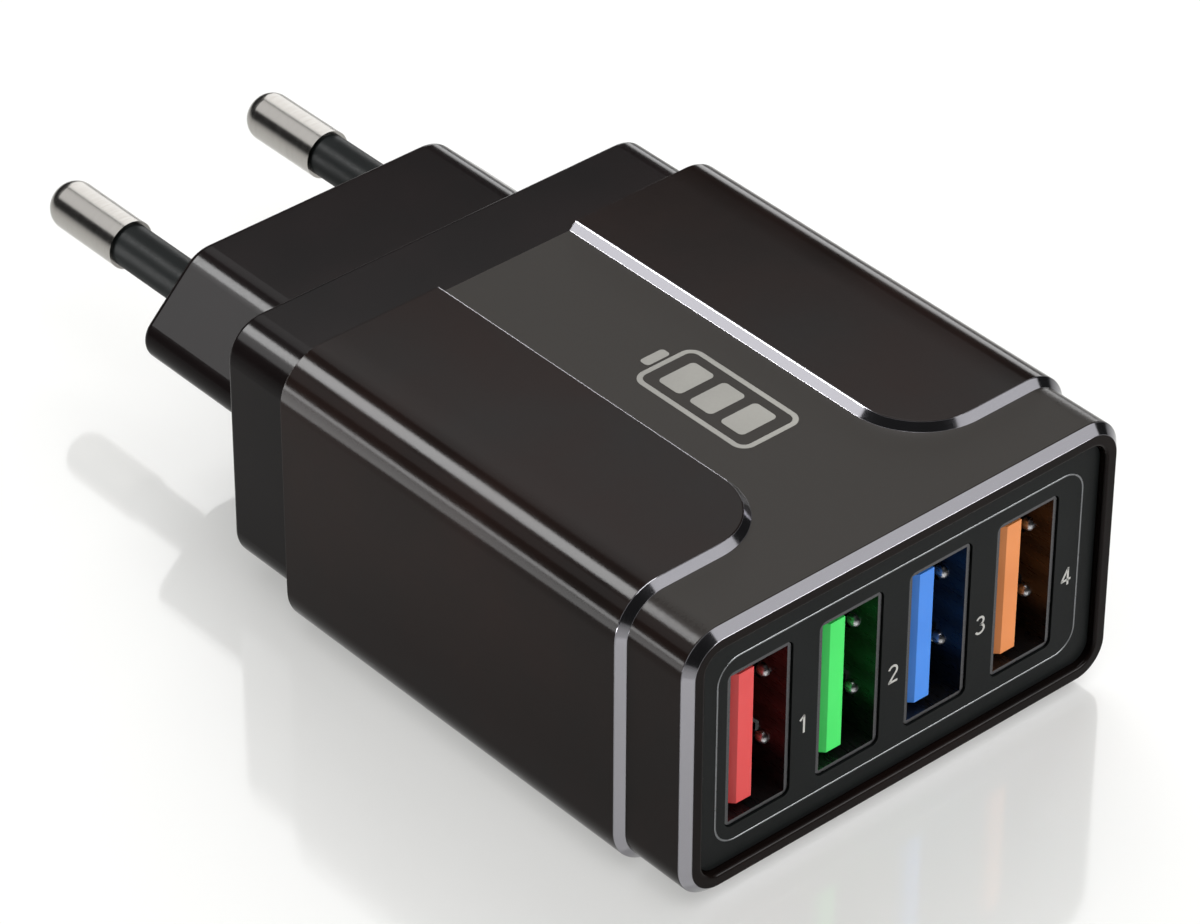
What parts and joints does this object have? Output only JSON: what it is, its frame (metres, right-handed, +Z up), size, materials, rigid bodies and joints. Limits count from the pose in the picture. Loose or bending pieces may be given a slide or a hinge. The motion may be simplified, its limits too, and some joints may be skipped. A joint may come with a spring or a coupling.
{
  "type": "multi-port usb charger",
  "caption": "Black mains charger: a box with raised side panels, a flat plug with round sleeved pins at the rear and upright USB-A ports with coloured tongues in a recessed front plate.",
  "frame": {"origin": "on the standing surface, below the middle of the charger's box", "axes": "+Y along the pins towards their tips, +Z up, +X to the right seen from the ports"},
  "size_m": [0.0418, 0.0832, 0.0237],
  "materials": {
    "case_plastic": "satin moulded",
    "plate_plastic": "semi-gloss moulded",
    "sleeve_plastic": "satin moulded",
    "pin_metal": "nickel plated",
    "port_metal": "tin plated sheet",
    "contact_metal": "plated strip",
    "tongue_red": "moulded",
    "tongue_green": "moulded",
    "tongue_blue": "moulded",
    "tongue_orange": "moulded",
    "board_laminate": "coated laminate",
    "package_epoxy": "moulded",
    "ferrite": "sintered",
    "bobbin_plastic": "moulded",
    "winding_copper": "enamelled wire",
    "can_aluminium": "sleeved can",
    "safety_ceramic": "coated"
  },
  "bodies": {
    "root": {"bridge_rectifier": "package_epoxy", "bulk_capacitor": "can_aluminium", "charge_controller": "package_epoxy", "choke_core": "ferrite", "choke_winding": "winding_copper", "fuse": "package_epoxy", "link_header": "package_epoxy", "main_board": "board_laminate", "main_shell": "case_plastic", "optocoupler": "package_epoxy", "output_capacitor_1": "can_aluminium", "output_capacitor_2": "can_aluminium", "output_rectifier": "package_epoxy", "pin_contact_left": "contact_metal", "pin_contact_right": "contact_metal", "pin_left": "pin_metal", "pin_right": "pin_metal", "port_contacts_1": "contact_metal", "port_contacts_2": "contact_metal", "port_contacts_3": "contact_metal", "port_contacts_4": "contact_metal", "port_plate": "plate_plastic", "port_shell_1": "port_metal", "port_shell_2": "port_metal", "port_shell_3": "port_metal", "port_shell_4": "port_metal", "port_tongue_blue": "tongue_blue", "port_tongue_green": "tongue_green", "port_tongue_orange": "tongue_orange", "port_tongue_red": "tongue_red", "power_switch": "package_epoxy", "rear_cover": "case_plastic", "safety_capacitor": "safety_ceramic", "sleeve_left": "sleeve_plastic", "sleeve_right": "sleeve_plastic", "transformer_bobbin": "bobbin_plastic", "transformer_core": "ferrite", "transformer_winding": "winding_copper", "usb_board": "board_laminate"}
  },
  "joints": []
}
